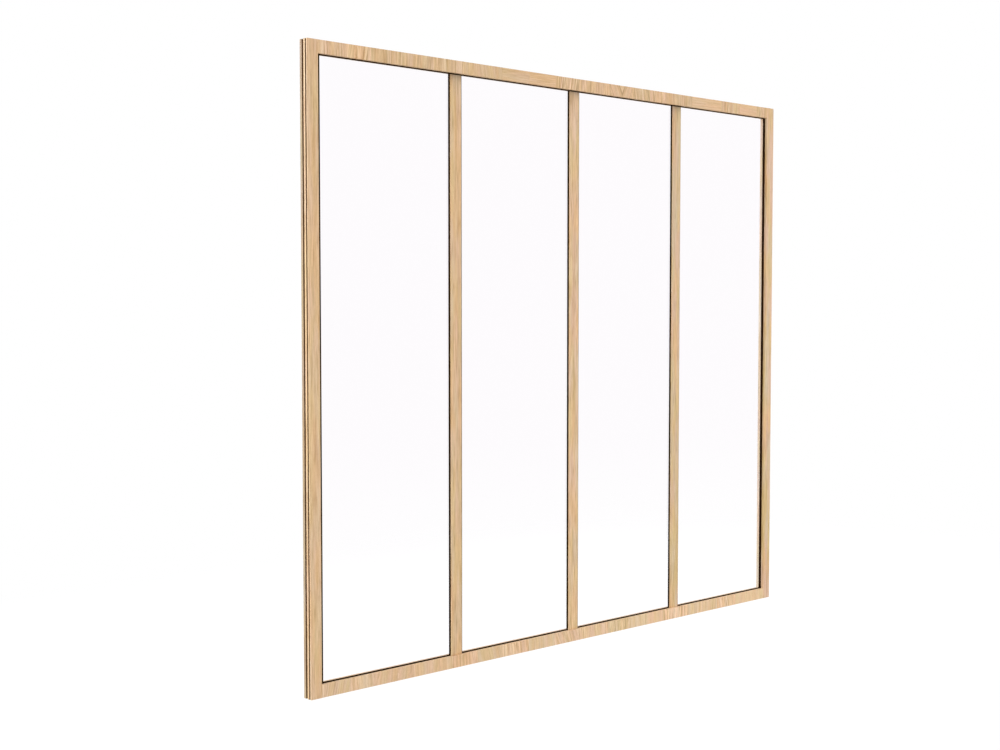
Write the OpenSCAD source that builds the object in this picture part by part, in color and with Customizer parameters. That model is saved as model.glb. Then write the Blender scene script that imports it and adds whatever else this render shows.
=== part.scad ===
// Glazed partition wall: an oak frame with four tall glass panes and three slim mullions.
// Origin: middle of the wall on the floor. +X along the wall, +Z up, front face towards -Y.

/* [Wall] */
// Overall width of the wall
wall_w = 2840; // [2640:10:3240]
// Overall height of the wall
wall_h = 2500; // [2000:10:3000]
// Depth of the frame, front face to rear face
frame_d = 49; // [46:1:70]
// Face width of the posts and rails
member_w = 51; // [46:1:70]
// Distance between mullion centres
bay_pitch = 685; // [500:5:740]
// Chamfer on the front edges of the frame
arris = 1; // [0.5:0.25:2]
// Chamfer on the rear edges of the frame
rear_arris = 2.5; // [1:0.5:4]

/* [Outer grooves] */
// Depth of the two lengthwise grooves in each outer face
groove_depth = 8; // [4:0.5:10]
// Width of the ridge in front of the first groove
front_ridge = 5; // [4:0.5:7]
// Width of the first groove
front_groove = 7; // [6.5:0.5:8]
// Width of the ridge between the grooves
middle_ridge = 12; // [10:0.5:14]
// Width of the second groove
rear_groove = 9; // [7:0.5:10]
// Chamfer on the lips of the grooves
lip = 0.5; // [0.25:0.25:1]

/* [Glazing] */
// Thickness of the wood in front of the glass
front_stop = 13.5; // [12:0.5:16]
// Width of the glazing rebate
rebate_w = 16; // [14:0.5:18]
// Thickness of the glass
glass_t = 10; // [8:0.5:12]
// Thickness of the front seals, between the front stop and the glass
seal_t = 3.5; // [3:0.25:4.5]
// Thickness of the seals and tapes behind the glass
rear_seal_t = 1.5; // [1:0.25:2]
// Width of front seal that shows beside each post
post_seal_show = 15; // [3:1:20]
// Width of front seal that shows along each rail
rail_seal_show = 3.5; // [3:0.5:10]
// Width of rear seal that shows past the beads
rear_seal_show = 3; // [1:0.5:5]
// Gap from the glass edge to the side of the rebate
edge_gap = 4; // [3:0.5:6]
// Gap from the glass edge to the bottom and top of the rebate
sill_gap = 5; // [3:0.5:7]
// Length of a setting block
block_l = 80; // [50:5:120]
// Distance of a block's centre from the pane's corner
block_inset = 120; // [80:5:180]
// Chamfer on the rear edges of the beads
bead_arris = 0.8; // [0.4:0.2:1.6]

/* [Mullions] */
// Width of a mullion's front cap
cap_w = 57; // [40:1:62]
// Thickness of a mullion's front cap
cap_t = 4.5; // [3:0.5:6]
// Gap between a cap's top and the top rail, where the black core shows
cap_top_gap = 6; // [0:1:10]
// Width of the core's flange behind the cap
flange_w = 67; // [62:1:80]
// Thickness of the core's flange, behind the rails' front stops
flange_t = 2; // [1.5:0.25:2.5]
// Thickness of the core's web between two panes
web_t = 8; // [6:0.5:9]
// Gap between the web and each pane
joint_gap = 2; // [1:0.5:4]
// Width of the front tape under each side of the flange
tape_w = 18; // [10:1:22]
// Width of front tape that shows beside the flange
tape_show = 2; // [0:0.5:3]
// Width of the rear strip
strip_w = 24; // [23:1:30]
// Thickness of the rear strip
strip_t = 6; // [4:0.5:8]
// Distance between the rear strip's screws
strip_screw_pitch = 340; // [200:10:360]

/* [Fixings] */
// Diameter of the holes for fixing the wall to the building
fixing_hole_d = 5.5; // [4:0.5:6.5]
// Distance between the middle two fixing holes in a post
post_fixing_inner = 700; // [400:50:800]
// Distance between the outer two fixing holes in a post
post_fixing_outer = 2100; // [1600:50:2200]
// Head diameter of a fixing screw's countersink
fixing_sink_d = 10; // [8:0.5:11]
// Diameter of the corner screws
corner_screw_d = 4; // [3:0.5:5]
// Length of the corner screws under the head
corner_screw_l = 90; // [70:5:120]
// Head diameter of the corner screws
corner_head_d = 6.2; // [5.5:0.1:6.4]
// Head height of the corner screws
corner_head_h = 3; // [2:0.5:3.5]
// Diameter of the corner dowels
dowel_d = 8; // [6:1:10]
// Length of the corner dowels
dowel_l = 40; // [30:2:50]
// Diameter of the mullion end screws and rear strip screws
core_screw_d = 4; // [3:0.5:4.5]
// Head diameter of those countersunk screws
core_head_d = 7.6; // [6.5:0.1:8]
// Length of a mullion end screw
end_screw_l = 58; // [50:1:70]
// Length of a rear strip screw
strip_screw_l = 16; // [10:1:17]
// Diameter of the bead pins
pin_d = 1.8; // [1.2:0.1:2.4]
// Head diameter of the bead pins
pin_head_d = 3.2; // [2.6:0.1:4]
// Length of the bead pins
pin_l = 30; // [24:1:34]
// Distance between bead pins up a post
post_pin_pitch = 320; // [200:10:400]
// Distance between the two bead pins of a bay on a rail
rail_pin_pitch = 320; // [200:10:400]

/* [Hidden] */
$fn = 48;

bays = 4;
mullions = bays - 1;
// Clearance of a screw shank in the hole it passes through
hole_clear = 0.25;
// Clearance of a screw, dowel or pin in the hole that grips it
grip_clear = 0.05;
// Depth of a screw head below the face around it
head_sink = 0.5;
// Height of a bead pin's head
pin_head_h = 1;
// Free length at each end of a dowel in its two holes
dowel_end_gap = 1;
// Wood between a dowel and the face or groove beside it
dowel_cover = 3;
// How far a cutting solid reaches past the face it cuts
past = 1;

oak = [0.85, 0.71, 0.55];
black = [0.07, 0.06, 0.05];
glass_colour = [0.93, 0.95, 0.97, 0.35];
steel = [0.72, 0.72, 0.70];
beech = [0.83, 0.70, 0.54];
block_colour = [0.20, 0.20, 0.21];

// Depths from the frame's front face
glass_front = front_stop + seal_t;
glass_back = glass_front + glass_t;
bead_front = glass_back + rear_seal_t;
bead_d = frame_d - bead_front;
cap_front = front_stop - cap_t;
tape_front = front_stop + flange_t;
tape_t = glass_front - tape_front;
web_d = bead_front - front_stop;
front_groove_near = front_ridge;
front_groove_far = front_groove_near + front_groove;
rear_groove_near = front_groove_far + middle_ridge;
rear_groove_far = rear_groove_near + rear_groove;
front_groove_mid = (front_groove_near + front_groove_far) / 2;
middle_ridge_mid = (front_groove_far + rear_groove_near) / 2;
rear_groove_mid = (rear_groove_near + rear_groove_far) / 2;
bead_mid = bead_front + bead_d / 2;

// Places along the wall and up it
inner_x = wall_w / 2 - member_w;
rebate_x = inner_x + rebate_w;
rail_l = 2 * inner_x;
rebate_z = member_w - rebate_w;
rebate_h = wall_h - 2 * rebate_z;
opening_h = wall_h - 2 * member_w;
pane_z = rebate_z + sill_gap;
pane_h = wall_h - 2 * pane_z;
// Corner dowels sit in the solid part of the rail behind the outer face
dowel_1 = [middle_ridge_mid, groove_depth + dowel_d / 2 + dowel_cover];
dowel_2 = [frame_d - dowel_d / 2 - dowel_cover, rebate_z / 2];
corner_screw_1 = [front_groove_mid, (groove_depth + member_w) / 2];
corner_screw_2 = [rear_groove_mid, (groove_depth + rebate_z) / 2];

function mullion_x(i) = (i - (mullions + 1) / 2) * bay_pitch;
function bay_mid(i) = (i - (bays + 1) / 2) * bay_pitch;
// The ends of pane i along X
function pane_lo(i) = i == 1 ? edge_gap - rebate_x : mullion_x(i - 1) + web_t / 2 + joint_gap;
function pane_hi(i) = i == bays ? rebate_x - edge_gap : mullion_x(i) - web_t / 2 - joint_gap;
// The ends along X of a rail's seals in bay i, given what shows at a post and the half width at a mullion
function seal_lo(i, shows, half) = i == 1 ? shows - inner_x : mullion_x(i - 1) + half;
function seal_hi(i, shows, half) = i == bays ? inner_x - shows : mullion_x(i) - half;
// Evenly spaced stations, centred on zero, over a length
function stations(length, pitch) =
    let (n = floor(length / pitch))
    [for (k = [0:n]) (k - n / 2) * pitch];
function post_fixings() =
    [for (gap = [post_fixing_outer, post_fixing_inner], s = [-1, 1]) wall_h / 2 + s * gap / 2];

// A box from its lowest corner, with its depth measured from the front face
module slab(x, depth, z, w, d, h) {
    translate([x, depth - frame_d / 2, z]) cube([w, d, h]);
}

// A cylinder whose axis runs along +X from a point given by its depth from the front face
module along_x(x, depth, z, r, l) {
    translate([x, depth - frame_d / 2, z]) rotate([0, 90, 0]) cylinder(r = r, h = l);
}

// A cylinder whose axis runs along +Z
module along_z(x, depth, z, r, l) {
    translate([x, depth - frame_d / 2, z]) cylinder(r = r, h = l);
}

// Outline of the frame moulding: first value from the outer face, second value from the front face
function groove_points(near, far) = [
    [0, far + lip], [lip, far], [groove_depth, far],
    [groove_depth, near], [lip, near], [0, near - lip]
];
moulding = concat(
    [[arris, 0], [member_w - arris, 0], [member_w, arris]],
    [[member_w, frame_d - rear_arris], [member_w - rear_arris, frame_d]],
    [[rear_arris, frame_d], [0, frame_d - rear_arris]],
    groove_points(rear_groove_near, rear_groove_far),
    groove_points(front_groove_near, front_groove_far),
    [[0, arris]]
);

// A fixing hole through the moulding into its rear groove, countersunk in the rebate
module fixing_hole() {
    reach = rebate_z - groove_depth;
    sink = (fixing_sink_d - fixing_hole_d) / 2;
    translate([0, 0, groove_depth - past])
        cylinder(d = fixing_hole_d, h = reach + 2 * past);
    translate([0, 0, rebate_z - sink])
        cylinder(d1 = fixing_hole_d, d2 = fixing_sink_d, h = sink);
    translate([0, 0, rebate_z]) cylinder(d = fixing_sink_d, h = past);
}

module post() {
    color(oak)
    difference() {
        translate([-wall_w / 2, -frame_d / 2, 0]) linear_extrude(wall_h) polygon(moulding);
        slab(-rebate_x, front_stop, rebate_z, rebate_w + past, frame_d, rebate_h);
        for (z = post_fixings())
            translate([-wall_w / 2, rear_groove_mid - frame_d / 2, z]) rotate([0, 90, 0]) fixing_hole();
        at_both_ends() {
            for (p = [corner_screw_1, corner_screw_2])
                along_x(-wall_w / 2, p[0], p[1], corner_screw_d / 2 + hole_clear, member_w + past);
            for (p = [dowel_1, dowel_2])
                along_x(-inner_x - dowel_l / 2, p[0], p[1], dowel_d / 2 + grip_clear, dowel_l);
        }
        for (z = stations(opening_h - post_pin_pitch / 2, post_pin_pitch))
            along_x(-inner_x - pin_l, bead_mid, wall_h / 2 + z, pin_d / 2 + grip_clear, pin_l);
    }
}

// What is drawn near the floor, and again mirrored near the ceiling
module at_both_ends() {
    children();
    translate([0, 0, wall_h]) mirror([0, 0, 1]) children();
}

module rail() {
    color(oak)
    difference() {
        translate([-inner_x, -frame_d / 2, 0])
            rotate([90, 0, 90]) linear_extrude(rail_l) polygon([for (p = moulding) [p[1], p[0]]]);
        slab(-inner_x - past, front_stop, rebate_z, rail_l + 2 * past, frame_d, rebate_w + past);
        for (i = [1:bays]) {
            translate([bay_mid(i), rear_groove_mid - frame_d / 2, 0]) fixing_hole();
            for (s = [-1, 1])
                along_z(bay_mid(i) + s * rail_pin_pitch / 2, bead_mid, member_w - pin_l,
                    pin_d / 2 + grip_clear, pin_l);
        }
        for (i = [1:mullions]) {
            along_z(mullion_x(i), middle_ridge_mid, -past, core_screw_d / 2 + hole_clear, member_w);
            translate([mullion_x(i), middle_ridge_mid - frame_d / 2, 0]) screw_head_space();
        }
        for (side = [0, 1]) mirror([side, 0, 0]) {
            for (p = [corner_screw_1, corner_screw_2])
                along_x(-inner_x - past, p[0], p[1], corner_screw_d / 2 + grip_clear,
                    corner_screw_l - member_w + groove_depth + 2 * past);
            for (p = [dowel_1, dowel_2])
                along_x(-inner_x - dowel_l / 2, p[0], p[1], dowel_d / 2 + grip_clear, dowel_l);
        }
    }
}

// The countersink for a core screw whose head enters along +Z from z = 0
module screw_head_space() {
    drop = (core_head_d - core_screw_d) / 2;
    translate([0, 0, -past]) cylinder(d = core_head_d + 2 * hole_clear, h = past + head_sink);
    translate([0, 0, head_sink])
        cylinder(d1 = core_head_d + 2 * hole_clear, d2 = core_screw_d + 2 * hole_clear, h = drop);
}

// A countersunk core screw that points along +Z, its head just below z = 0, with a drive recess
module core_screw(length) {
    drop = (core_head_d - core_screw_d) / 2;
    difference() {
        union() {
            translate([0, 0, head_sink]) cylinder(d1 = core_head_d, d2 = core_screw_d, h = drop);
            translate([0, 0, head_sink]) cylinder(d = core_screw_d, h = length);
        }
        translate([0, 0, head_sink - past]) cylinder(d = core_screw_d / 2, h = past + drop, $fn = 6);
    }
}

module mullion_cap(i) {
    color(oak)
    translate([mullion_x(i), cap_front - frame_d / 2, member_w])
        linear_extrude(opening_h - cap_top_gap)
            polygon([
                [-cap_w / 2, cap_t], [-cap_w / 2, arris], [arris - cap_w / 2, 0],
                [cap_w / 2 - arris, 0], [cap_w / 2, arris], [cap_w / 2, cap_t]
            ]);
}

module mullion_core(i) {
    x = mullion_x(i);
    color(black)
    difference() {
        union() {
            slab(x - flange_w / 2, front_stop, rebate_z, flange_w, flange_t, rebate_h);
            slab(x - web_t / 2, front_stop, rebate_z, web_t, web_d, rebate_h);
        }
        at_both_ends()
            along_z(x, middle_ridge_mid, rebate_z - past, core_screw_d / 2 + grip_clear,
                end_screw_l + head_sink - rebate_z + 2 * past);
        for (z = stations(opening_h - strip_screw_pitch / 2, strip_screw_pitch))
            translate([x, bead_front + strip_t - frame_d / 2, wall_h / 2 + z])
                rotate([90, 0, 0])
                    cylinder(r = core_screw_d / 2 + grip_clear, h = strip_screw_l + 2 * head_sink);
    }
}

module mullion_rear_strip(i) {
    color(oak)
    difference() {
        translate([mullion_x(i), bead_front - frame_d / 2, member_w])
            linear_extrude(opening_h)
                polygon([
                    [-strip_w / 2, 0], [strip_w / 2, 0], [strip_w / 2, strip_t - arris],
                    [strip_w / 2 - arris, strip_t], [arris - strip_w / 2, strip_t],
                    [-strip_w / 2, strip_t - arris]
                ]);
        for (z = stations(opening_h - strip_screw_pitch / 2, strip_screw_pitch))
            translate([mullion_x(i), bead_front + strip_t - frame_d / 2, wall_h / 2 + z])
                rotate([90, 0, 0]) {
                    screw_head_space();
                    cylinder(r = core_screw_d / 2 + hole_clear, h = strip_t + past);
                }
    }
}

module mullion_front_tapes(i) {
    color(black)
    for (side = [0, 1])
        translate([mullion_x(i), 0, 0]) mirror([side, 0, 0])
            slab(flange_w / 2 - tape_w, tape_front, rebate_z, tape_w + tape_show, tape_t, rebate_h);
}

module mullion_rear_tapes(i) {
    edge = web_t / 2 + joint_gap;
    color(black)
    for (side = [0, 1])
        translate([mullion_x(i), 0, 0]) mirror([side, 0, 0])
            slab(edge, glass_back, member_w, strip_w / 2 - edge, rear_seal_t, opening_h);
}

module glass_pane(i) {
    color(glass_colour)
    slab(pane_lo(i), glass_front, pane_z, pane_hi(i) - pane_lo(i), glass_t, pane_h);
}

// Outline of a bead: first value from the side of the rebate, second value from the bead's front
bead_outline = [
    [0, 0], [rebate_w, 0], [rebate_w, bead_d - bead_arris], [rebate_w - bead_arris, bead_d],
    [bead_arris, bead_d], [0, bead_d - bead_arris]
];

module side_bead() {
    color(oak)
    difference() {
        translate([-rebate_x, bead_front - frame_d / 2, rebate_z])
            linear_extrude(rebate_h) polygon(bead_outline);
        for (z = stations(opening_h - post_pin_pitch / 2, post_pin_pitch)) {
            along_x(-rebate_x - past, bead_mid, wall_h / 2 + z, pin_d / 2 + grip_clear,
                rebate_w + 2 * past);
            along_x(-inner_x - pin_head_h, bead_mid, wall_h / 2 + z, pin_head_d / 2 + grip_clear,
                pin_head_h + past);
        }
    }
}

module rail_bead() {
    color(oak)
    difference() {
        translate([-inner_x, bead_front - frame_d / 2, rebate_z])
            rotate([90, 0, 90]) linear_extrude(rail_l) polygon([for (p = bead_outline) [p[1], p[0]]]);
        for (i = [1:bays], s = [-1, 1]) {
            x = bay_mid(i) + s * rail_pin_pitch / 2;
            along_z(x, bead_mid, rebate_z - past, pin_d / 2 + grip_clear, rebate_w + 2 * past);
            along_z(x, bead_mid, member_w - pin_head_h, pin_head_d / 2 + grip_clear,
                pin_head_h + past);
        }
    }
}

module side_front_seal() {
    color(black)
    slab(-rebate_x, front_stop, rebate_z, rebate_w + post_seal_show, seal_t, rebate_h);
}

module side_rear_seal() {
    color(black)
    slab(-rebate_x, glass_back, rebate_z, rebate_w + rear_seal_show, rear_seal_t, rebate_h);
}

module rail_front_seal(i) {
    lo = seal_lo(i, post_seal_show, flange_w / 2 + tape_show);
    hi = seal_hi(i, post_seal_show, flange_w / 2 + tape_show);
    color(black)
    slab(lo, front_stop, rebate_z, hi - lo, seal_t, rebate_w + rail_seal_show);
}

module rail_rear_seal(i) {
    lo = seal_lo(i, rear_seal_show, strip_w / 2);
    hi = seal_hi(i, rear_seal_show, strip_w / 2);
    color(black)
    slab(lo, glass_back, rebate_z, hi - lo, rear_seal_t, rebate_w + rear_seal_show);
}

// Two blocks carry each pane on the bottom rail
module setting_blocks() {
    color(block_colour)
    for (i = [1:bays], x = [pane_lo(i) + block_inset, pane_hi(i) - block_inset])
        slab(x - block_l / 2, glass_front, rebate_z, block_l, glass_t, sill_gap);
}

// Blocks that keep the outer panes off the posts
module side_blocks() {
    color(block_colour)
    for (side = [0, 1])
        mirror([side, 0, 0]) at_both_ends()
            slab(-rebate_x, glass_front, pane_z + block_inset - block_l / 2, edge_gap, glass_t, block_l);
}

// Spacers that keep neighbouring panes off each core's web
module joint_spacers() {
    color(block_colour)
    for (i = [1:mullions], side = [0, 1])
        translate([mullion_x(i), 0, 0]) mirror([side, 0, 0]) at_both_ends()
            slab(web_t / 2, glass_front, pane_z + block_inset - block_l / 2, joint_gap, glass_t, block_l);
}

module corner_dowels() {
    color(beech)
    for (side = [0, 1], p = [dowel_1, dowel_2])
        mirror([side, 0, 0]) at_both_ends()
            along_x(-inner_x - dowel_l / 2 + dowel_end_gap, p[0], p[1], dowel_d / 2,
                dowel_l - 2 * dowel_end_gap);
}

module corner_screws() {
    seat = -wall_w / 2 + groove_depth;
    color(steel)
    for (side = [0, 1], p = [corner_screw_1, corner_screw_2])
        mirror([side, 0, 0]) at_both_ends()
            difference() {
                union() {
                    along_x(seat - corner_head_h, p[0], p[1], corner_head_d / 2, corner_head_h);
                    along_x(seat - past, p[0], p[1], corner_screw_d / 2, corner_screw_l + past);
                }
                translate([seat - corner_head_h - past, p[0] - frame_d / 2, p[1]])
                    rotate([0, 90, 0])
                        cylinder(d = corner_head_d / 2, h = past + corner_head_h / 2, $fn = 6);
            }
}

module mullion_end_screws() {
    color(steel)
    for (i = [1:mullions])
        at_both_ends()
            translate([mullion_x(i), middle_ridge_mid - frame_d / 2, 0]) core_screw(end_screw_l);
}

module rear_strip_screws() {
    color(steel)
    for (i = [1:mullions], z = stations(opening_h - strip_screw_pitch / 2, strip_screw_pitch))
        translate([mullion_x(i), bead_front + strip_t - frame_d / 2, wall_h / 2 + z])
            rotate([90, 0, 0]) core_screw(strip_screw_l);
}

// A bead pin that points along -Z, its head flush with z = 0
module bead_pin() {
    mirror([0, 0, 1]) {
        cylinder(d = pin_head_d, h = pin_head_h);
        cylinder(d = pin_d, h = pin_l - pin_head_h);
    }
}

module bead_pins() {
    color(steel) {
        for (i = [1:bays], s = [-1, 1])
            at_both_ends()
                translate([bay_mid(i) + s * rail_pin_pitch / 2, bead_mid - frame_d / 2, member_w])
                    bead_pin();
        for (side = [0, 1], z = stations(opening_h - post_pin_pitch / 2, post_pin_pitch))
            mirror([side, 0, 0])
                translate([-inner_x, bead_mid - frame_d / 2, wall_h / 2 + z])
                    rotate([0, 90, 0]) bead_pin();
    }
}

module to_ceiling() {
    translate([0, 0, wall_h]) mirror([0, 0, 1]) children();
}

post();  // left_post
mirror([1, 0, 0]) post();  // right_post
rail();  // bottom_rail
to_ceiling() rail();  // top_rail
side_bead();  // left_bead
mirror([1, 0, 0]) side_bead();  // right_bead
rail_bead();  // bottom_bead
to_ceiling() rail_bead();  // top_bead
side_front_seal();  // left_front_seal
mirror([1, 0, 0]) side_front_seal();  // right_front_seal
side_rear_seal();  // left_rear_seal
mirror([1, 0, 0]) side_rear_seal();  // right_rear_seal
for (i = [1:mullions]) {
    mullion_cap(i);
    mullion_core(i);
    mullion_rear_strip(i);
    mullion_front_tapes(i);
    mullion_rear_tapes(i);
}
for (i = [1:bays]) {
    glass_pane(i);
    rail_front_seal(i);
    to_ceiling() rail_front_seal(i);
    rail_rear_seal(i);
    to_ceiling() rail_rear_seal(i);
}
setting_blocks();
side_blocks();
joint_spacers();
corner_dowels();
corner_screws();
mullion_end_screws();
rear_strip_screws();
bead_pins();
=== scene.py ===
"""Looks of a glazed oak partition wall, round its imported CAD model. Metres, Z up."""

import math

import bpy
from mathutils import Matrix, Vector


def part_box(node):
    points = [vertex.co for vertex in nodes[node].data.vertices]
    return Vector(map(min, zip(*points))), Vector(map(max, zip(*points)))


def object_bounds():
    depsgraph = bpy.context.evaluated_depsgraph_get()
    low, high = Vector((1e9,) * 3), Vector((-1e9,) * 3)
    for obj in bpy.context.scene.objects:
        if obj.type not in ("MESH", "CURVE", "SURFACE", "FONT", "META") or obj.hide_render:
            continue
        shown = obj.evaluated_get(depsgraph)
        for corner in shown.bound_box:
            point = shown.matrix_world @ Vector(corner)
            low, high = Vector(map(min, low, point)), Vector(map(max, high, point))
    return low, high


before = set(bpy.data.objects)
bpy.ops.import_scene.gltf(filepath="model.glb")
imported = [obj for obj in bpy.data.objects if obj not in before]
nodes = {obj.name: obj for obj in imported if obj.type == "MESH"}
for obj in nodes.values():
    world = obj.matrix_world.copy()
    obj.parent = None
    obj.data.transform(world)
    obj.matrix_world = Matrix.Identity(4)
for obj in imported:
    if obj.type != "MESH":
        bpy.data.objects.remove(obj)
cad_low, cad_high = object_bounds()

WHITE = (1.0, 1.0, 1.0, 1.0)


# Shader helpers


def srgb(red, green, blue):
    """A linear colour from an 8-bit sRGB one."""
    linear = []
    for byte in (red, green, blue):
        value = byte / 255
        linear.append(value / 12.92 if value <= 0.04045 else ((value + 0.055) / 1.055) ** 2.4)
    return (*linear, 1.0)


class Shader:
    """Adds nodes to a node tree and links them."""

    def __init__(self, tree, output):
        self.tree = tree
        tree.nodes.clear()
        self.output = tree.nodes.new(output)

    def node(self, kind, inputs=None, **settings):
        """A new node. settings are its properties, and inputs its values or their sources."""
        made = self.tree.nodes.new("ShaderNode" + kind)
        for key, value in settings.items():
            setattr(made, key, value)
        for key, value in (inputs or {}).items():
            self.put(made.inputs[key], value)
        return made

    def put(self, socket, value):
        """Gives a socket a value, or links it to the socket that feeds it."""
        if isinstance(value, bpy.types.NodeSocket):
            self.tree.links.new(value, socket)
        else:
            socket.default_value = value

    def surface(self, closure):
        """Ends the tree in that closure."""
        self.put(self.output.inputs["Surface"], closure)

    def place(self):
        """The surface point, in metres."""
        return self.node("TexCoord").outputs["Object"]

    def split(self, vector):
        """The X, Y and Z of a vector."""
        parts = self.node("SeparateXYZ", {0: vector}).outputs
        return parts["X"], parts["Y"], parts["Z"]

    def join(self, x, y, z):
        return self.node("CombineXYZ", {0: x, 1: y, 2: z}).outputs[0]

    def math(self, operation, first, second=0.0, clamp=False):
        values = {0: first, 1: second}
        return self.node("Math", values, operation=operation, use_clamp=clamp).outputs[0]

    def vector(self, operation, first, second=(0.0, 0.0, 0.0)):
        made = self.node("VectorMath", {0: first, 1: second}, operation=operation)
        return made.outputs["Value" if operation == "LENGTH" else "Vector"]

    def noise(self, place, scale, detail=2.0, output="Fac"):
        """Noise with so many features a metre along each axis."""
        stretched = self.vector("MULTIPLY", place, scale)
        values = {"Vector": stretched, "Scale": 1.0, "Detail": detail}
        return self.node("TexNoise", values).outputs[output]

    def remap(self, value, low, high, to_low=0.0, to_high=1.0):
        """value taken smoothly from low..high to to_low..to_high."""
        source = {"Value": value, "From Min": low, "From Max": high}
        target = {"To Min": to_low, "To Max": to_high}
        made = self.node("MapRange", {**source, **target}, interpolation_type="SMOOTHSTEP")
        return made.outputs[0]

    def ramp(self, factor, stops):
        """A colour ramp of (position, colour) stops."""
        made = self.node("ValToRGB", {"Fac": factor})
        elements = made.color_ramp.elements
        while len(elements) < len(stops):
            elements.new(1.0)
        for element, (position, colour) in zip(elements, stops):
            element.position = position
            element.color = colour
        return made.outputs["Color"]

    def mix(self, factor, first, second):
        """A mix of two colours."""
        return self.blend("RGBA", factor, first, second)

    def multiply(self, colour, shade, share=1.0):
        """A colour multiplied by another, as far as share says."""
        return self.blend("RGBA", share, colour, shade, blend_type="MULTIPLY")

    def blend(self, kind, factor, first, second, **settings):
        """A mix of two colours or vectors: a Mix node has both kinds of socket at once."""
        made = self.node("Mix", data_type=kind, **settings)
        sockets = {socket.identifier: socket for socket in made.inputs}
        suffix = {"RGBA": "Color", "VECTOR": "Vector"}[kind]
        self.put(sockets["Factor_Float"], factor)
        self.put(sockets["A_" + suffix], first)
        self.put(sockets["B_" + suffix], second)
        return next(socket for socket in made.outputs if socket.type == kind)

    def bump(self, height, strength, depth):
        values = {"Height": height, "Strength": strength, "Distance": depth}
        return self.node("Bump", values).outputs["Normal"]

    def looks(self):
        """1 for rays that look: from the camera, a reflection or through glass."""
        path = self.node("LightPath").outputs
        mirrored = self.math("MAXIMUM", path["Is Camera Ray"], path["Is Glossy Ray"])
        return self.math("MAXIMUM", mirrored, path["Is Transmission Ray"])


def material(name):
    """(shader helper, material) for a new material."""
    made = bpy.data.materials.new(name)
    made.use_nodes = True
    return Shader(made.node_tree, "ShaderNodeOutputMaterial"), made


# Oak. Scales are features a metre along the wood's X, Y and Z, and its grain runs along Z.

WANDER_SCALE = (9, 9, 2.2)
WANDER_REACH = (0.010, 0.010, 0.0)
RINGS = {"Scale": 95.0, "Distortion": 2.0, "Detail": 2.0, "Detail Scale": 0.25}
RINGS_WEIGHT = 0.14
# Streaks: features across and along the grain, and the weights in the tone and in the shade.
STREAKS = (
    (55, 1.2, 0.35, 0.0),
    (150, 9.0, 0.30, 0.65),
    (400, 16.0, 0.0, 0.60),
    (1300, 30.0, 0.0, 0.30),
)
EVEN_STREAK = 0.47
PALE_SHARE = 0.4
SHADE_GAIN = (0.97, 1.15, 1.47)
OAK_TONES = [
    (0.15, srgb(187, 146, 100)),
    (0.40, srgb(209, 173, 131)),
    (0.60, srgb(221, 190, 153)),
    (0.85, srgb(234, 213, 182)),
]
HUE_SCALE, WARMTH_SCALE = (26, 26, 3.5), (32, 32, 4.5)
WARMTH_PLACE = (0.37, 0.21, 0.0)
CAST_SPAN = (0.35, 0.65)
PINK, OLIVE = (1.03, 0.965, 0.985, 1.0), (0.955, 1.03, 0.985, 1.0)
PALE, HONEY = (0.98, 1.015, 1.18, 1.0), (1.005, 0.98, 0.82, 1.0)
VESSEL_SCALE = (2300, 2300, 75)
PORE_VESSELS, PORE_RINGS = (0.60, 0.70), (0.75, 0.15)
PORE_SHADE, PORE_SHARE = (0.62, 0.55, 0.46, 1.0), 0.6
FIBRE_RELIEF = 0.35


def grown(shader, place, tint, strength, casts):
    """(colour, height, streak) of oak at a place in the wood.

    strength is the grain's contrast, and casts is how far its hue wanders. A pale streak stands
    out less than a dark one.
    """
    wander = shader.noise(place, WANDER_SCALE, output="Color")
    wander = shader.vector("SUBTRACT", wander, (0.5, 0.5, 0.5))
    bent = shader.vector("ADD", place, shader.vector("MULTIPLY", wander, WANDER_REACH))
    shape = {"wave_type": "RINGS", "rings_direction": "Z", "wave_profile": "SAW"}
    rings = shader.node("TexWave", {"Vector": bent, **RINGS}, **shape).outputs["Fac"]

    tone = shader.math("MULTIPLY", shader.math("SUBTRACT", rings, 0.5), RINGS_WEIGHT)
    shade = 0.0
    streaks = []
    for across, along, in_tone, in_shade in STREAKS:
        streak = shader.noise(bent, (across, across, along))
        streaks.append(streak)
        off = shader.math("SUBTRACT", streak, EVEN_STREAK)
        off = shader.math("MINIMUM", off, shader.math("MULTIPLY", off, PALE_SHARE))
        tone = shader.math("ADD", tone, shader.math("MULTIPLY", off, in_tone))
        shade = shader.math("ADD", shade, shader.math("MULTIPLY", off, in_shade))
    tone = shader.math("MULTIPLY", tone, strength)
    colour = shader.ramp(shader.math("ADD", tone, 0.5), OAK_TONES)
    shade = shader.math("MULTIPLY", shade, strength)
    shade = shader.vector("ADD", shader.vector("MULTIPLY", shade, SHADE_GAIN), (1.0, 1.0, 1.0))
    colour = shader.multiply(colour, shade)

    hue = shader.noise(bent, HUE_SCALE, detail=1.0)
    warmth_place = shader.vector("ADD", bent, WARMTH_PLACE)
    warmth = shader.noise(warmth_place, WARMTH_SCALE, detail=1.0)
    for chance, low, high in ((hue, OLIVE, PINK), (warmth, HONEY, PALE)):
        cast = shader.mix(shader.remap(chance, *CAST_SPAN), low, high)
        colour = shader.multiply(colour, cast, casts)
    colour = shader.multiply(colour, tint)

    vessels = shader.remap(shader.noise(bent, VESSEL_SCALE, detail=0.0), *PORE_VESSELS)
    pores = shader.math("MULTIPLY", vessels, shader.remap(rings, *PORE_RINGS))
    colour = shader.multiply(colour, PORE_SHADE, shader.math("MULTIPLY", pores, PORE_SHARE))

    fibres = shader.math("MULTIPLY", streaks[-1], FIBRE_RELIEF)
    return colour, shader.math("SUBTRACT", fibres, pores), streaks[1]


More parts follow.
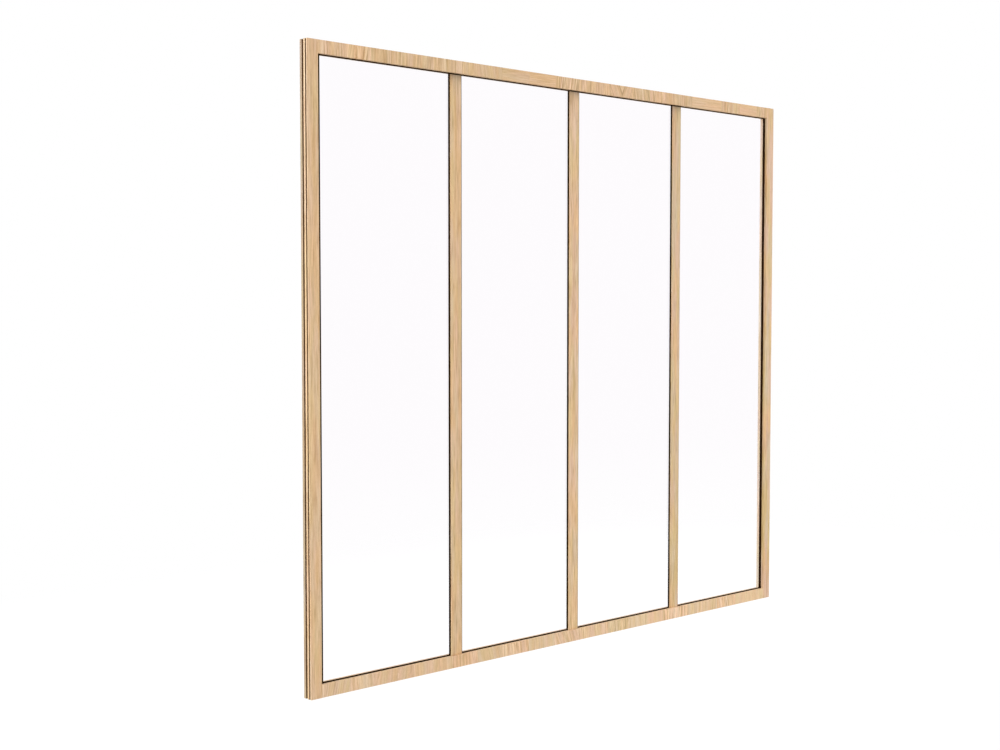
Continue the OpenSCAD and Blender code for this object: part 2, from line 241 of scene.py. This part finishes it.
GROOVES = ((-0.0195, -0.0125), (-0.0005, 0.0085))
GROOVE_EDGE, GROOVE_DEPTH = 0.0004, 0.008
# Painted shade: the grooves' colour is darkened as if shadowed inside the recess.
PAINTED_GROOVE_SHADE = (0.22, 0.155, 0.09, 1.0)
REAR_RIDGE = 0.0085
# Painted shade: the rear ridge is darkened and greyed as if turned away from the light.
PAINTED_REAR_SHADE = (0.66, 0.72, 0.81, 1.0)


def groove_shade_mask(shader):
    """1 in the two lengthwise grooves of the frame's outer faces, where painted shade darkens the
    recess.
    """
    x, y, z = shader.split(shader.place())
    middle = (cad_low + cad_high) / 2
    side = shader.math("SUBTRACT", cad_high.x - GROOVE_DEPTH, shader.math("ABSOLUTE", x))
    height = shader.math("ABSOLUTE", shader.math("SUBTRACT", z, middle.z))
    level = shader.math("SUBTRACT", cad_high.z - GROOVE_DEPTH - middle.z, height)
    outer = shader.math("LESS_THAN", shader.math("MINIMUM", side, level), GROOVE_EDGE)
    inside = 0.0
    for front, back in GROOVES:
        off = shader.math("ABSOLUTE", shader.math("SUBTRACT", y, (front + back) / 2))
        reach = (back - front) / 2 + GROOVE_EDGE
        inside = shader.math("ADD", inside, shader.math("LESS_THAN", off, reach))
    return shader.math("MULTIPLY", outer, inside)


def rear_ridge_shade_mask(shader):
    """1 on the rear ridge of the posts' outer faces, which painted shade makes darker and greyer
    than the rest.
    """
    x, y, _ = shader.split(shader.place())
    side = shader.math("SUBTRACT", cad_high.x, shader.math("ABSOLUTE", x))
    outer = shader.math("LESS_THAN", side, GROOVE_EDGE)
    return shader.math("MULTIPLY", outer, shader.math("GREATER_THAN", y, REAR_RIDGE))


PLANED_STREAKS, PLANED_ROUGHNESS = (0.3, 0.7), (0.46, 0.60)
PLANED_SHINE = 0.35
PLANED_RELIEF = (0.35, 0.0004)


def planed(shader, colour, height, streak):
    """The oiled surface of planed wood, with painted shade in the frame's grooves and on its rear
    ridge.
    """
    # Painted shade darkens the grooves of the frame's outer faces.
    colour = shader.multiply(colour, PAINTED_GROOVE_SHADE, groove_shade_mask(shader))
    # Painted shade greys the rear ridge of the posts' outer faces.
    colour = shader.multiply(colour, PAINTED_REAR_SHADE, rear_ridge_shade_mask(shader))
    values = {
        "Base Color": colour,
        "Roughness": shader.remap(streak, *PLANED_STREAKS, *PLANED_ROUGHNESS),
        "Specular IOR Level": PLANED_SHINE,
        "Normal": shader.bump(height, *PLANED_RELIEF),
    }
    shader.surface(shader.node("BsdfPrincipled", values).outputs[0])


NO_TINT = (1.0, 1.0, 1.0)
UPRIGHT, LEVEL = (0.0, 0.0, 0.0), (0.0, -math.pi / 2, 0.0)
# Painted shade at the mullions' tops, where the top rail would cast its shadow.
PAINTED_HOOD_SHADE = (0.45, 0.46, 0.48, 1.0)
HOOD_REACH = 0.022


def oak(name, cut, tint=NO_TINT, turn=UPRIGHT, strength=1.0, casts=0.6, hood=None):
    """Oak from one board, cut from the wood at the place cut and turned to lie along the piece.

    Just below the height hood it carries painted shade: the soft shadow of the rail above, fading
    downwards.
    """
    shader, made = material(name)
    place = shader.place()
    lie = {"Vector": place, "Location": cut, "Rotation": turn}
    in_wood = shader.node("Mapping", lie).outputs[0]
    colour, height, streak = grown(shader, in_wood, (*tint, 1.0), strength, casts)
    # Painted shade: darkest at the hood and fading away below it.
    if hood:
        below = shader.math("SUBTRACT", shader.split(place)[2], hood)
        shaded = shader.math("EXPONENT", shader.math("DIVIDE", below, HOOD_REACH))
        colour = shader.multiply(colour, PAINTED_HOOD_SHADE, shaded)
    planed(shader, colour, height, streak)
    return made


# Oak glued up from short staves. Each stave draws three chances from its number along the rail.

STAVES_A_METRE = 6.4
UNEVEN_SCALE, UNEVEN_REACH = (2.3, 0.0, 0.0), 1.6
LEAN_REACH = 1.4
FIGURED_FROM, FIGURE_SLOPE, FIGURE_CALM = 0.86, 0.55, 0.35
STAVE_SCATTER = (7.0, 7.0, 7.0)
STAVE_STRENGTH, STAVE_CONTRAST = 1.25, (1.75, 0.55)
STAVE_CASTS = 0.42
STAVE_TINTS = [
    (0.0, (0.93, 0.91, 0.85, 1.0)),
    (0.35, WHITE),
    (0.7, (1.05, 0.98, 0.97, 1.0)),
    (1.0, (0.94, 0.93, 0.86, 1.0)),
]
SEAM_EDGE = (0.485, 0.5)
SEAM_CHANCE, SEAM_WEIGHT = (0.2, 0.9), (0.1, 0.6)
SEAM_SHADE = (0.80, 0.74, 0.66, 1.0)


def laminated_oak(name, middle, first_stave, along_share, tints):
    """Oak of short staves along a rail whose middle is at that height.

    along_share of the staves have their grain along the rail, a few have an arched figure, and
    the others' grain is upright or leans. tints are the rail's at its left and right ends.
    """
    shader, made = material(name)
    place = shader.place()
    along, depth, z = shader.split(place)
    across = shader.math("SUBTRACT", z, middle)

    uneven = shader.noise(place, UNEVEN_SCALE, detail=0.0)
    uneven = shader.math("MULTIPLY", uneven, UNEVEN_REACH)
    count = shader.math("ADD", shader.math("MULTIPLY", along, STAVES_A_METRE), uneven)
    count = shader.math("ADD", count, first_stave)
    stave = shader.math("FLOOR", count)
    chance = shader.node("TexWhiteNoise", {"W": stave}, noise_dimensions="1D").outputs["Color"]
    chance_x, chance_y, chance_z = shader.split(chance)
    inside = shader.math("ABSOLUTE", shader.math("SUBTRACT", shader.math("FRACT", count), 0.5))

    lean = shader.math("MULTIPLY", shader.math("SUBTRACT", chance_x, 0.5), LEAN_REACH)
    lean = shader.math("MULTIPLY", lean, shader.math("MULTIPLY", lean, lean))
    leaning = shader.math("ADD", along, shader.math("MULTIPLY", lean, across))
    from_middle = shader.math("MULTIPLY", inside, 1.0 / STAVES_A_METRE)
    slope = shader.math("MULTIPLY", across, FIGURE_SLOPE)
    arched = shader.math("SUBTRACT", from_middle, slope)
    is_figured = shader.math("GREATER_THAN", chance_y, FIGURED_FROM)
    swap = shader.math("MULTIPLY", is_figured, shader.math("SUBTRACT", arched, leaning))
    crossing = shader.math("ADD", leaning, swap)

    runs_along = shader.math("GREATER_THAN", chance_z, 1.0 - along_share)
    upright = shader.join(crossing, depth, across)
    lengthwise = shader.join(across, depth, along)
    in_wood = shader.blend("VECTOR", runs_along, upright, lengthwise)
    in_wood = shader.vector("ADD", in_wood, shader.vector("MULTIPLY", chance, STAVE_SCATTER))

    spread = shader.remap(along, cad_low.x, cad_high.x)
    tint = shader.mix(spread, (*tints[0], 1.0), (*tints[1], 1.0))
    strong, weak = (contrast * STAVE_STRENGTH for contrast in STAVE_CONTRAST)
    strength = shader.remap(chance_z, 0.0, 1.0, strong, weak)
    calm = shader.math("SUBTRACT", 1.0, shader.math("MULTIPLY", is_figured, FIGURE_CALM))
    strength = shader.math("MULTIPLY", strength, calm)
    colour, height, streak = grown(shader, in_wood, tint, strength, STAVE_CASTS)
    colour = shader.multiply(colour, shader.ramp(chance_y, STAVE_TINTS))

    weight = shader.remap(chance_x, *SEAM_CHANCE, *SEAM_WEIGHT)
    seam = shader.math("MULTIPLY", shader.remap(inside, *SEAM_EDGE), weight)
    planed(shader, shader.multiply(colour, SEAM_SHADE, seam), height, streak)
    return made


# Other materials

CLOUD_SCALE = (18, 18, 18)
CLOUD_SPAN, GRAIN_SPAN = (0.3, 0.7), (0.35, 0.65)
CLOUD_ROUGHNESS = 0.06
GRAIN_STRENGTH = 0.25


def speckled(name, colour, variation, grains, roughness, depth, metallic=0.0, shine=0.5):
    """A moulded, coated or drawn surface: a colour with fine variation and a grained relief."""
    shader, made = material(name)
    place = shader.place()
    cloud = shader.noise(place, CLOUD_SCALE, detail=3.0)
    grain = shader.noise(place, (grains, grains, grains), detail=1.0)
    amount = shader.math("MULTIPLY", shader.math("ADD", cloud, grain), 0.5)
    dark, pale = (
        (*(channel * factor for channel in colour[:3]), 1.0)
        for factor in (1 - variation, 1 + variation)
    )
    span = (roughness - CLOUD_ROUGHNESS, roughness + CLOUD_ROUGHNESS)
    values = {
        "Base Color": shader.ramp(amount, [(GRAIN_SPAN[0], dark), (GRAIN_SPAN[1], pale)]),
        "Roughness": shader.remap(cloud, *CLOUD_SPAN, *span),
        "Metallic": metallic,
        "Specular IOR Level": shine,
        "Normal": shader.bump(grain, GRAIN_STRENGTH, depth),
    }
    shader.surface(shader.node("BsdfPrincipled", values).outputs[0])
    return made


FILM_SCALE, FILM_REACH = (1.3, 1.3, 1.1), 0.3
FILM_RISE = (0.35, 1.0)
GLASS_LOW, GLASS_HIGH = (0.998, 0.992, 0.998, 1.0), (0.986, 0.966, 0.986, 1.0)
GLASS_IOR = 1.5
LAMP_SHARE = (0.97, 0.97, 0.97, 1.0)


def clear_glass(name):
    """Clear float glass that lets the lamps through, with a faint tint that grows upwards."""
    shader, made = material(name)
    place = shader.place()
    height = shader.split(place)[2]
    film = shader.noise(place, FILM_SCALE, detail=1.0)
    film = shader.math("MULTIPLY_ADD", film, FILM_REACH)
    film.node.inputs[2].default_value = -FILM_REACH / 2
    film = shader.math("ADD", shader.remap(height, *FILM_RISE), film, clamp=True)
    tint = shader.mix(film, GLASS_LOW, GLASS_HIGH)
    values = {"Base Color": tint, "Roughness": 0.0, "IOR": GLASS_IOR, "Transmission Weight": 1.0}
    glass = shader.node("BsdfPrincipled", values).outputs[0]
    open_way = shader.node("BsdfTransparent", {"Color": LAMP_SHARE}).outputs[0]
    path = shader.node("LightPath").outputs
    lamp_ray = shader.math("MAXIMUM", path["Is Shadow Ray"], path["Is Diffuse Ray"])
    shader.surface(shader.node("MixShader", {0: lamp_ray, 1: glass, 2: open_way}).outputs[0])
    return made


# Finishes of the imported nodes

# Posts and mullions: cut, tint, strength, casts.
UPRIGHTS = {
    "left_post": ((0.31, 0.07, 0.4), (0.99, 0.975, 0.945), 1.2, 0.45),
    "right_post": ((0.12, 0.23, 1.9), (0.971, 0.946, 0.917), 1.3, 1.0),
    "mullion_1": ((0.045, 0.11, 0.9), (0.988, 0.963, 0.917), 1.25, 0.6),
    "mullion_2": ((0.52, 0.31, 2.2), (1.013, 0.999, 0.990), 1.5, 0.7),
    "mullion_3": ((0.77, 0.19, 3.1), (0.948, 0.940, 0.898), 1.25, 0.85),
}
# Rails: middle, first_stave, along_share, tints.
# The tints make the rails paler towards their right ends, the bottom rail much more: partly tone
# and partly painted light, standing in for stronger light on the right.
RAILS = {
    "top_rail": (2.4745, 40.0, 0.22, ((0.99, 0.98, 0.96), (1.02, 1.00, 0.98))),
    "bottom_rail": (0.0255, 77.0, 0.0, ((1.005, 1.025, 1.06), (1.145, 1.195, 1.27))),
}
RUBBER, COATING = srgb(40, 21, 5), srgb(34, 18, 4)
PLASTIC, ZINC = srgb(52, 54, 56), srgb(186, 188, 190)

cap_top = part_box("mullion_1")[1][2]
finishes = {}
for name, (cut, tint, strength, casts) in UPRIGHTS.items():
    hood = cap_top if name.startswith("mullion") else None
    finishes[name] = oak("oak_" + name, cut, tint, strength=strength, casts=casts, hood=hood)
for name, row in RAILS.items():
    finishes[name] = laminated_oak("oak_" + name, *row)

upright_oak = oak("oak_upright_trim", (0.9, 0.5, 0.3))
level_oak = oak("oak_level_trim", (0.4, 0.6, 0.2), turn=LEVEL)
# The side beads' oak is tinted paler: painted light that brightens the strip seen through the
# glass, like a glancing reflection.
bead_oak_painted_light = oak("oak_bead_painted_light", (0.7, 0.3, 0.6), (1.12, 1.28, 1.60), strength=0.8)
rubber = speckled("black_rubber", RUBBER, 0.10, 900, 0.66, 0.0002, shine=0.02)
coating = speckled("black_powder_coat", COATING, 0.08, 1400, 0.60, 0.0001, shine=0.02)
plastic = speckled("block_plastic", PLASTIC, 0.08, 700, 0.55, 0.0002)
beech = oak("beech_dowels", (1.4, 1.2, 0.1), (0.98, 0.93, 0.86), turn=LEVEL)
steel = speckled("zinc_steel", ZINC, 0.08, 1200, 0.34, 0.0001, metallic=1.0)
glass = clear_glass("clear_glass")

# The first row whose words are in a node's name gives its finish.
KINDS = [
    ("glass_pane", glass),
    ("_core", coating),
    ("_seal", rubber),
    ("_tapes", rubber),
    ("_screws", steel),
    ("_pins", steel),
    ("_dowels", beech),
    ("_blocks", plastic),
    ("_spacers", plastic),
    ("top_bead", level_oak),
    ("bottom_bead", level_oak),
    ("_bead", bead_oak_painted_light),
    ("_rear_strip", upright_oak),
]


def finish_of(name):
    if name in finishes:
        return finishes[name]
    return next(made for part, made in KINDS if part in name)


for name, piece in nodes.items():
    piece.data.materials.clear()
    piece.data.materials.append(finish_of(name))


# Floor, backdrop and light

FLOOR_SIDE, FLOOR_LEVEL = 80.0, -0.0005
SHADOW_REACH = (0.25, 2.6)
FLOOR_TINT, FLOOR_GAIN, FLOOR_GLOW = 0.16, 1.35, 0.70
AMBIENT_LEVEL, AMBIENT_OVERHEAD = 0.40, 0.90


def floor_material():
    """A pale floor: white where no shadow falls, and plain white far from the wall."""
    shader, made = material("studio_floor")
    away = shader.vector("ABSOLUTE", shader.place())
    outside = shader.vector("SUBTRACT", away, (cad_high.x, cad_high.y, 0.0))
    distance = shader.vector("LENGTH", shader.vector("MAXIMUM", outside))
    share = shader.math("MULTIPLY", shader.remap(distance, *SHADOW_REACH, 1.0, 0.0), FLOOR_TINT)
    taken = shader.math("MULTIPLY", share, FLOOR_GAIN)
    grey = shader.node("CombineColor", {0: taken, 1: taken, 2: taken}).outputs[0]
    left = shader.math("SUBTRACT", 1.0, share)
    glow = shader.node("Emission", {"Color": WHITE, "Strength": left})
    lit = shader.node("BsdfDiffuse", {"Color": grey})
    seen = shader.node("AddShader", {0: glow.outputs[0], 1: lit.outputs[0]}).outputs[0]
    bounce = shader.node("Emission", {"Color": WHITE, "Strength": FLOOR_GLOW}).outputs[0]
    shader.surface(shader.node("MixShader", {0: shader.looks(), 1: bounce, 2: seen}).outputs[0])
    return made


bpy.ops.mesh.primitive_plane_add(size=FLOOR_SIDE, location=(0.0, 0.0, FLOOR_LEVEL))
floor = bpy.context.object
floor.name = "studio_floor"
floor.data.materials.append(floor_material())

world = bpy.data.worlds.new("studio")
bpy.context.scene.world = world
world.use_nodes = True
sky = Shader(world.node_tree, "ShaderNodeOutputWorld")
upward = sky.split(sky.node("TexCoord").outputs["Generated"])[2]
overhead = sky.math("MULTIPLY", sky.math("MULTIPLY", upward, upward), AMBIENT_OVERHEAD)
ambient = sky.math("ADD", overhead, AMBIENT_LEVEL)
soft = sky.node("Background", {"Color": WHITE, "Strength": ambient}).outputs[0]
backdrop = sky.node("Background", {"Color": WHITE, "Strength": 1.0}).outputs[0]
sky.surface(sky.node("MixShader", {0: sky.looks(), 1: soft, 2: backdrop}).outputs[0])

WALL_MIDDLE = (0.0, 0.0, 1.25)
# Softboxes: name, place, aim, width, height, watts.
SOFTBOXES = [
    ("key", (-14.5, -3.6, 2.2), WALL_MIDDLE, 8.0, 4.5, 1250.0),
    ("front", (-0.5, -13.0, 2.6), WALL_MIDDLE, 8.0, 4.5, 220.0),
    ("right", (11.5, -4.6, 2.0), (0.6, 0.0, 1.25), 4.0, 3.5, 420.0),
    ("back", (-3.5, 12.0, 7.2), WALL_MIDDLE, 8.0, 4.0, 850.0),
]

for name, place, aim, width, height, watts in SOFTBOXES:
    light = bpy.data.lights.new(name, "AREA")
    light.shape = "RECTANGLE"
    light.size, light.size_y = width, height
    light.energy = watts
    lamp = bpy.data.objects.new(name, light)
    lamp.location = place
    lamp.rotation_euler = (Vector(aim) - Vector(place)).to_track_quat("-Z", "Y").to_euler()
    bpy.context.collection.objects.link(lamp)


# Camera, fitted to the photograph's straight edges

CAMERA_PLACE = (-4.4170, -4.4240, 1.5052)
CAMERA_YAW, CAMERA_PITCH = 42.0348, -2.8557
LENS, SENSOR = 50.467, 36.0

lens = bpy.data.cameras.new("camera")
lens.lens, lens.sensor_width = LENS, SENSOR
camera = bpy.data.objects.new("camera", lens)
camera.location = CAMERA_PLACE
camera.rotation_euler = (math.radians(90.0 + CAMERA_PITCH), 0.0, math.radians(-CAMERA_YAW))
bpy.context.collection.objects.link(camera)
bpy.context.scene.camera = camera
bpy.context.scene.view_settings.view_transform = "Standard"
